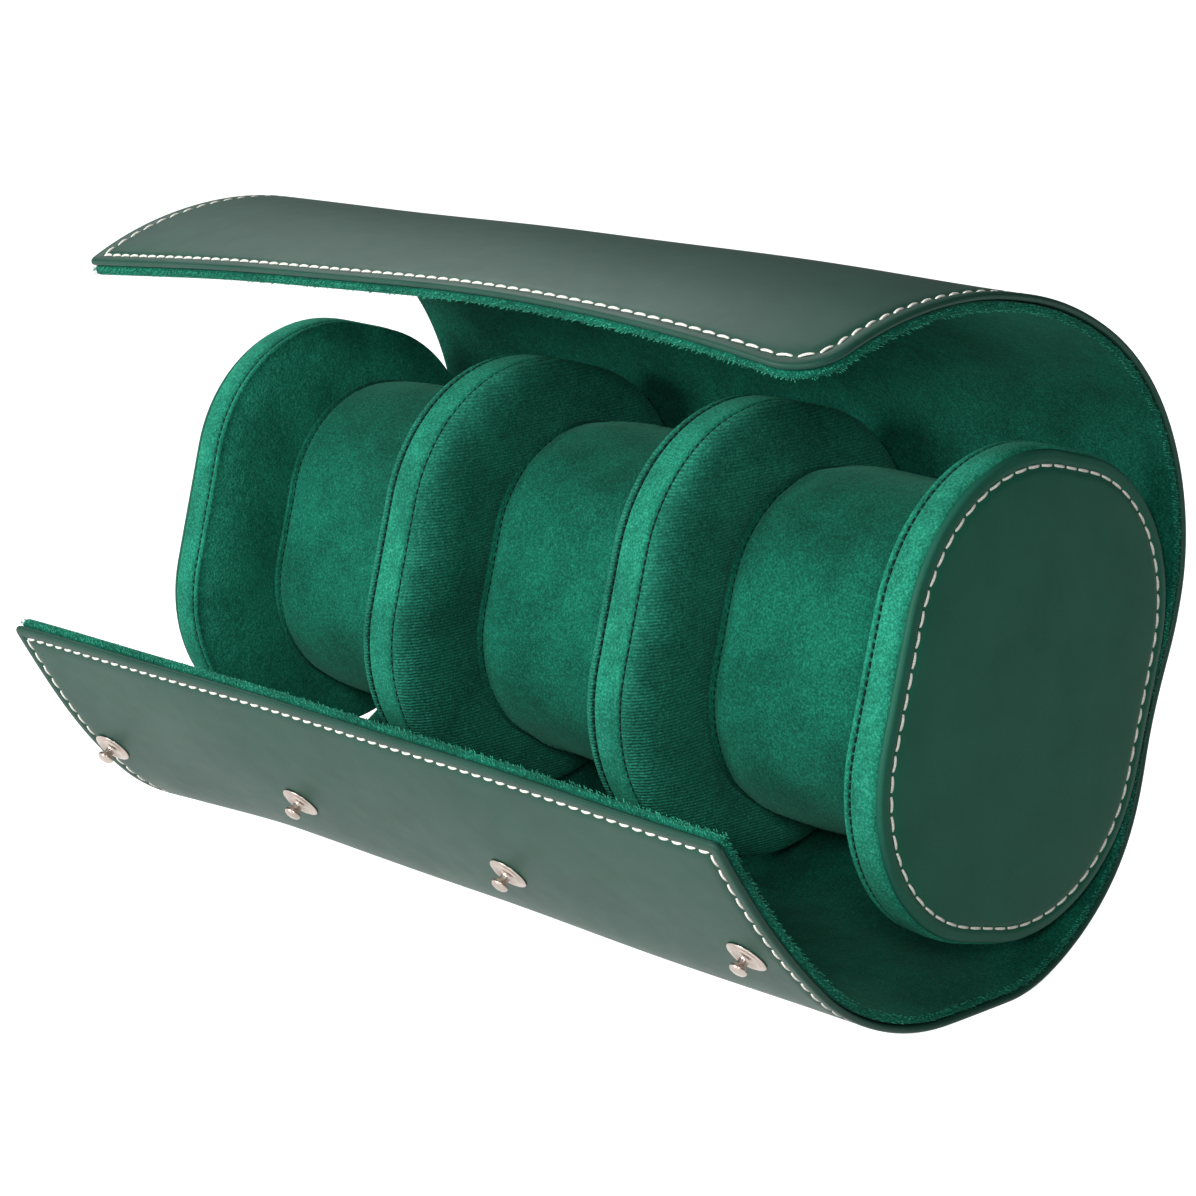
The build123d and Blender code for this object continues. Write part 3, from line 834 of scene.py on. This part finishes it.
def panel_profile(half):
    """Leather panel, from its back face round the edge and over the gently domed front."""
    pairs = [(0.0, half), (0.0, panel_inset + 1.2 * MM), (0.05 * MM, panel_inset + 0.4 * MM)]
    centre = panel_thickness - panel_edge - panel_dome
    for turn in np.linspace(-20, 90, 12):
        angle = math.radians(turn)
        along = centre + panel_edge * math.sin(angle)
        pairs.append((along, panel_inset + panel_edge * (1 - math.cos(angle))))
    flat = centre + panel_edge
    start = panel_inset + panel_edge
    for step in range(1, panel_steps + 1):
        inset = start + (half - start) * (step / panel_steps) ** 2
        rise = panel_dome * (1 - math.exp(-(inset - start) / dome_reach))
        pairs.append((flat + rise - panel_dip * bell(inset, panel_stitch_inset, dip_width), inset))
    return pairs


def tub_profile(half):
    """Velvet tub: joint with the panel, rim band, seam, lip and crowned inner face."""
    depth = cap_joint - cap_inner
    seam = depth - cap_seam
    pairs = [(-0.2 * MM, half), (-0.2 * MM, 2.0 * MM), (0.0, 1.1 * MM), (0.35 * MM, 0.4 * MM)]
    for share in (0.15, 0.3, 0.45, 0.6, 0.75):
        pairs.append((share * seam, -band_bulge * math.sin(math.pi * share)))
    groove = [(-0.6, 0.02), (-0.35, 0.33), (-0.18, 1.1), (0.18, 1.1), (0.3, 0.33), (0.5, 0.1)]
    pairs += [(seam + along * MM, inset * MM) for along, inset in groove]
    for turn in np.linspace(10, 100, 7):
        angle = math.radians(turn)
        pairs.append((depth - lip_round + lip_round * math.sin(angle), lip_round * (1 - math.cos(angle))))
    return pairs + crown_profile(depth, cap_crown, 1.2 * MM, cap_crown_reach, half)


def sewn_seam(name, disc, x, inset, body):
    """Green thread in the groove of a seam that runs round a disc at x."""
    stitches = ring_stitches(disc, x, inset, seam_pitch, seam_stitch, 0.0, 1.0)
    sewn(name, stitches, green_thread, body, seam_thread, seam_rise)


for end, way, disc in (("near", 1, near_disc), ("far", -1, far_disc)):
    joint = way * cap_joint
    panel = stacked(f"{end}_cap_leather", disc, panel_profile(disc.half), joint, way, cap_leather)
    upholstered(panel, "smooth_leather", "roll", f"{end}_cap_panel", fill=0.9)
    tub = stacked(f"{end}_cap_velvet", disc, tub_profile(disc.half), joint, -way, rim_velvet_painted_light, cap_uneven)
    upholstered(tub, "velvet", "roll", f"{end}_cap_cover", fill=0.8)
    fall = panel_dome * math.exp(-(panel_stitch_inset - panel_inset - panel_edge) / dome_reach)
    thread_x = way * (cap_outer - fall - thread_dip)
    stitches = ring_stitches(disc, thread_x, panel_stitch_inset, panel_pitch, panel_stitch, way, 0.0)
    sewn(f"{end}_cap_stitches", stitches, cream_thread, "roll")
    sewn_seam(f"{end}_cap_seam", disc, way * (cap_inner + cap_seam), cap_seam_inset, "roll")

# Dividers: a rim band between two seams, with a padded crowned face on each side
band_half = 3.45 * MM
seam_half = 0.2 * MM
face_swell = 4.5 * MM
face_press = 0.9 * MM
face_rim = 0.1 * MM
face_uneven = 0.35 * MM
shoulder = 9.5 * MM
divider_seam_inset = 0.46 * MM


def divider_band_profile():
    """The rim band, gently rounded, with its edges pulled into the seams."""
    edge = band_half - seam_half
    pairs = [(-edge, roll_disc.half), (-edge, 2.4 * MM), (-edge, 1.3 * MM)]
    pairs += [(edge * share, 0.9 * MM * abs(share) ** 12) for share in np.linspace(-0.98, 0.98, 25)]
    return pairs + [(edge, 1.3 * MM), (edge, 2.4 * MM), (edge, roll_disc.half)]


def divider_face_profile():
    """One padded face: from its seam over a fat round shoulder, and pressed in where a pillow sits."""
    edge = seam_half
    pairs = [(0.0, roll_disc.half), (0.0, 2.4 * MM), (edge, 1.3 * MM), (edge + 0.12 * MM, 0.45 * MM)]
    start, swell = edge + 0.35 * MM, face_swell - edge - 0.35 * MM
    for turn in np.linspace(0, 90, 26):
        angle = math.radians(turn)
        pairs.append((start + swell * math.sin(angle), face_rim + shoulder * (1 - math.cos(angle))))
    flat = face_rim + shoulder
    for share in np.linspace(0.1, 1, 10):
        press = face_press * min(1.0, share / 0.3) ** 2
        pairs.append((face_swell - press, flat + (roll_disc.half - flat) * share))
    return pairs


for divider, x in (("divider_far", -divider_place), ("divider_near", divider_place)):
    band = stacked(f"{divider}_band", roll_disc, divider_band_profile(), x, 1, rim_velvet_painted_light)
    upholstered(band, "velvet", "roll", f"{divider}_rim_band", fill=0.8)
    for side, way in (("far", -1), ("near", 1)):
        name, seam_x = f"{divider}_pad_{side}", x + way * band_half
        face = stacked(name, roll_disc, divider_face_profile(), seam_x, way, ribbed_velvet, face_uneven)
        upholstered(face, "velvet", "roll", f"{divider}_face_{side}", fill=0.7)
        sewn_seam(f"{divider}_seam_{side}", roll_disc, seam_x, divider_seam_inset, "roll")

# Pillows: a velvet sleeve, drawn in at its ends, with a piped and crowned disc at each end
pillow_depth = 55 * MM
pillow_height = 67 * MM
pillow_corner = 25.5 * MM
pillow_back = 7.8 * MM
pillow_half = 24.8 * MM
sleeve_half = 22.6 * MM
pillow_crown, pillow_crown_reach = 1.2 * MM, 9 * MM
pillow_draw = 1.3 * MM
piping = 0.55 * MM
fold_depth = 0.55 * MM
folds_round, fold_slant, fold_groups = 17, 5, 3
fold_start, fold_stop, fold_fade = 0.25, 0.97, 8
sleeve_fade = 3 * MM
pillow_uneven, pillow_uneven_size = 0.7 * MM, 17 * MM
pillow_seam, pillow_seam_inset = sleeve_half + 0.1 * MM, pillow_draw + 0.6 * MM
pillow_disc = Disc(pillow_depth, pillow_height, pillow_corner, pillow_back)


def pillow_profile():
    """From one end's middle out to its piping, along the sleeve, and back in at the other end."""
    rim = pillow_half - pillow_crown
    half = crown_profile(rim, pillow_crown, pillow_draw, pillow_crown_reach, pillow_disc.half)[::-1]
    for turn in np.linspace(80, -60, 8):
        angle = math.radians(turn)
        along = rim - piping + piping * math.sin(angle)
        half.append((along, pillow_draw + piping * (0.4 - math.cos(angle))))
    sleeve_end = sleeve_half - 0.35 * MM
    half += [(sleeve_half - 0.1 * MM, pillow_draw + 1.4 * MM), (sleeve_end, pillow_draw + 1.3 * MM)]
    for share in (0.97, 0.93, 0.86, 0.76, 0.64, 0.5, 0.36, 0.22, 0.08):
        half.append((sleeve_end * share, pillow_draw * share**5 + 0.1 * MM))
    return half + [(-along, inset) for along, inset in half[::-1]]


def pillow_folds(points, x, seed):
    """Soft creases that run slanting from the ends of the sleeve, and a slow unevenness."""
    along = (points[:, 0] - x) / pillow_half
    spin = np.arctan2(points[:, 2] - roll_z, points[:, 1] - roll_y - pillow_back)
    towards_end = np.clip(np.abs(along) - fold_start, 0, 1)
    towards_end *= np.clip((fold_stop - np.abs(along)) * fold_fade, 0, 1)
    groups = np.clip(np.sin(spin * fold_groups + seed * 2 + along), 0, 1)
    slanted = np.sin(spin * folds_round + along * fold_slant + seed) * groups
    return fold_depth * slanted * towards_end + wander(points + seed, pillow_uneven_size, pillow_uneven)


def crumple(piece, x, seed):
    """Moves a pillow's sleeve in and out along its folds."""
    mesh = piece.data
    points = np.array([v.co for v in mesh.vertices])
    middle = np.array([0, roll_y + lean_y * pillow_back, roll_z + lean_z * pillow_back])
    ways = points - middle
    ways[:, 0] = 0
    ways /= np.maximum(np.linalg.norm(ways, axis=1, keepdims=True), 1e-9)
    on_sleeve = np.clip((sleeve_half - np.abs(points[:, 0] - x)) / sleeve_fade, 0, 1)
    points += ways * (pillow_folds(points, x, seed) * on_sleeve)[:, None]
    mesh.vertices.foreach_set("co", points.ravel())
    mesh.update()


pillows = (("pillow_far", -bay_pitch), ("pillow_middle", 0.0), ("pillow_near", bay_pitch))
for seed, (pillow, x) in enumerate(pillows):
    cushion = stacked(f"{pillow}_velvet", pillow_disc, pillow_profile(), x, 1, velvet)
    crumple(cushion, x, seed)
    upholstered(cushion, "velvet", pillow, f"{pillow}_sleeve", f"{pillow}_ends", fill=0.85)
    for side, way in (("far", -1), ("near", 1)):
        sewn_seam(f"{pillow}_seam_{side}", pillow_disc, x + way * pillow_seam, pillow_seam_inset, pillow)

# Snaps: studs outside the lower flap, sockets inside the top flap
snap_far, snap_near = -91 * MM, 85.5 * MM
snap_count = 4
snap_sides = 40
stud_from_edge = 33 * MM
socket_from_edge = 9 * MM
metal_round, round_steps = 0.12 * MM, 3


def turned(name, outline, places, material):
    """Turned parts at each place (centre, axis, side): the outline is (radius, height) pairs."""
    points, faces = [], []
    for centre, axis, side in places:
        third = np.cross(axis, side)
        first = len(points)
        for radius, height in outline:
            for step in range(snap_sides):
                angle = 2 * math.pi * step / snap_sides
                spoke = math.cos(angle) * side + math.sin(angle) * third
                points.append(centre + axis * height + spoke * radius)
        index = np.arange(first, len(points)).reshape(len(outline), snap_sides)
        faces += grid_faces(np.concatenate([index, index[:, :1]], axis=1))
    return mesh_piece(name, points, faces, material)


def rounded(points):
    """An outline of (radius, height) pairs with its corners rounded a little."""
    made = [points[0]]
    for before, corner, after in zip(points, points[1:], points[2:]):
        corner = np.array(corner)
        ways = [np.array(other) - corner for other in (before, after)]
        reach = min(metal_round, *(np.linalg.norm(way) / 2.2 for way in ways))
        start, end = (corner + way / np.linalg.norm(way) * reach for way in ways)
        for t in np.linspace(0, 1, round_steps + 1):
            made.append(tuple((1 - t) ** 2 * start + 2 * t * (1 - t) * corner + t**2 * end))
    return made + [points[-1]]


def stud_outline():
    """Flange with a raised ring, thin neck and mushroom knob, from the shank's foot up."""
    flange = [(0, -1.6), (1.2, -1.6), (1.2, 0.0), (3.75, 0.0), (3.95, 0.2), (3.7, 0.45), (3.15, 0.5)]
    dish = [(2.95, 0.78), (2.5, 0.78), (2.3, 0.5), (1.7, 0.45), (1.15, 0.62), (0.95, 1.0), (0.9, 1.9)]
    knob = [(1.15, 2.1), (1.5, 2.25), (1.68, 2.6), (1.66, 2.95), (1.4, 3.3), (0.85, 3.5), (0.0, 3.58)]
    return [(radius * MM, height * MM) for radius, height in flange + dish + knob]


def socket_outline():
    """Flange, raised round wall and a shallow well for the stud's knob."""
    flange = [(0, -1.9), (1.2, -1.9), (1.2, 0.0), (3.75, 0.0), (3.95, 0.25), (3.7, 0.6), (3.5, 0.7)]
    wall = [(3.35, 1.6), (3.1, 1.85), (2.6, 1.85), (2.35, 1.6), (2.3, 0.35), (0.0, 0.3)]
    return [(radius * MM, height * MM) for radius, height in flange + wall]


def snap_places(s, depth, outward):
    """Centre, axis and side of each snap in its row, on the bowed sheet."""
    made = []
    for x in np.linspace(snap_far, snap_near, snap_count):
        centre = sheet_points(s, x, depth)
        along = sheet_points([s - MM, s + MM], x, depth)
        across = sheet_points(s, [x - MM, x + MM], depth)
        side = across[1] - across[0]
        side /= np.linalg.norm(side)
        axis = np.cross(along[1] - along[0], side)
        axis /= np.linalg.norm(axis)
        y, z, normal_y, normal_z = sheet_section(s)
        if np.dot(axis, [0, normal_y, normal_z]) * outward > 0:
            axis = -axis
        made.append((centre, axis, side))
    return made


stud_row = snap_places(sheet_low + stud_from_edge, 0.0, 1)
socket_row = snap_places(sheet_high - socket_from_edge, sheet_thickness, -1)
halves = (
    ("stud", stud_outline(), stud_row, "lower_flap"),
    ("socket", socket_outline(), socket_row, "top_flap"),
)
for half, outline, row, flap in halves:
    snaps = turned(f"snap_{half}s_metal", rounded(outline), row, snap_metal)
    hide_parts(f"snap_{half}s", f"{half}_backplates")
    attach(snaps, flap)


# Camera, floor and light
camera_place = (0.4382, -0.4267, 0.2077)
camera_tilt = math.radians(76.124)
camera_azimuth = math.radians(46.0)
sensor = 36.0
focal_pixels = 3277.2
photo_pixels = 1196


def make_camera():
    data = bpy.data.cameras.new("camera")
    data.sensor_width, data.lens = sensor, sensor * focal_pixels / photo_pixels
    data.clip_start, data.clip_end = 0.01, 20
    camera = bpy.data.objects.new("camera", data)
    camera.location = camera_place
    camera.rotation_euler = (camera_tilt, 0, camera_azimuth)
    bpy.context.scene.collection.objects.link(camera)
    bpy.context.scene.camera = camera


def seen_share(tree):
    """1 where the camera looks straight or by way of a reflection, and 0 for light on the object."""
    rays = tree.nodes.new("ShaderNodeLightPath")
    share = rays.outputs["Is Camera Ray"]
    for ray in ("Is Glossy Ray", "Is Transmission Ray"):
        both = tree.nodes.new("ShaderNodeMath")
        both.operation = "MAXIMUM"
        tree.links.new(share, both.inputs[0])
        tree.links.new(rays.outputs[ray], both.inputs[1])
        share = both.outputs[0]
    return share


def make_floor(half, albedo):
    """A wide floor, white where the camera sees it and a plain grey for the light on the object."""
    build = bmesh.new()
    bmesh.ops.create_grid(build, x_segments=8, y_segments=8, size=half)
    mesh = bpy.data.meshes.new("floor")
    build.to_mesh(mesh)
    build.free()
    material = bpy.data.materials.new("floor")
    material.use_nodes = True
    tree = material.node_tree
    shader = tree.nodes["Principled BSDF"]
    shader.inputs["Base Color"].default_value = (*grey(albedo), 1)
    shader.inputs["Roughness"].default_value = 0.9
    glow = tree.nodes.new("ShaderNodeEmission")
    glow.inputs["Color"].default_value = (1, 1, 1, 1)
    tree.links.new(seen_share(tree), glow.inputs["Strength"])
    both = tree.nodes.new("ShaderNodeAddShader")
    tree.links.new(shader.outputs["BSDF"], both.inputs[0])
    tree.links.new(glow.outputs["Emission"], both.inputs[1])
    tree.links.new(both.outputs["Shader"], tree.nodes["Material Output"].inputs["Surface"])
    link(mesh, "floor", material)


def make_lamp(name, place, aim, size, power):
    data = bpy.data.lights.new(name, "AREA")
    data.shape, data.size, data.energy = "DISK", size, power
    lamp = bpy.data.objects.new(name, data)
    lamp.location = place
    lamp.rotation_euler = (Vector(aim) - Vector(place)).to_track_quat("-Z", "Y").to_euler()
    bpy.context.scene.collection.objects.link(lamp)


def make_world(strength):
    """White to the camera, and a soft even light on the object."""
    world = bpy.data.worlds.new("world")
    bpy.context.scene.world = world
    world.use_nodes = True
    tree = world.node_tree
    plain, white = tree.nodes["Background"], tree.nodes.new("ShaderNodeBackground")
    plain.inputs["Color"].default_value = (1, 1, 1, 1)
    plain.inputs["Strength"].default_value = strength
    white.inputs["Color"].default_value = (1, 1, 1, 1)
    mixed = tree.nodes.new("ShaderNodeMixShader")
    rays = tree.nodes.new("ShaderNodeLightPath")
    tree.links.new(rays.outputs["Is Camera Ray"], mixed.inputs["Fac"])
    tree.links.new(plain.outputs["Background"], mixed.inputs[1])
    tree.links.new(white.outputs["Background"], mixed.inputs[2])
    tree.links.new(mixed.outputs["Shader"], tree.nodes["World Output"].inputs["Surface"])


make_camera()
make_floor(half=6.0, albedo=0.5)
make_world(strength=0.15)
object_middle = (0.0, 0.0, 0.06)
make_lamp("key", (-0.15, -1.0, 0.42), object_middle, 0.4, 13.0)
make_lamp("left", (-0.6, -0.4, 0.15), object_middle, 0.3, 0.5)
make_lamp("near", (0.38, -0.4, 0.24), (0.07, -0.02, 0.06), 0.12, 1.3)
make_lamp("top", (-0.45, 0.12, 0.65), object_middle, 0.5, 3.0)
bpy.context.scene.view_settings.view_transform = "Standard"
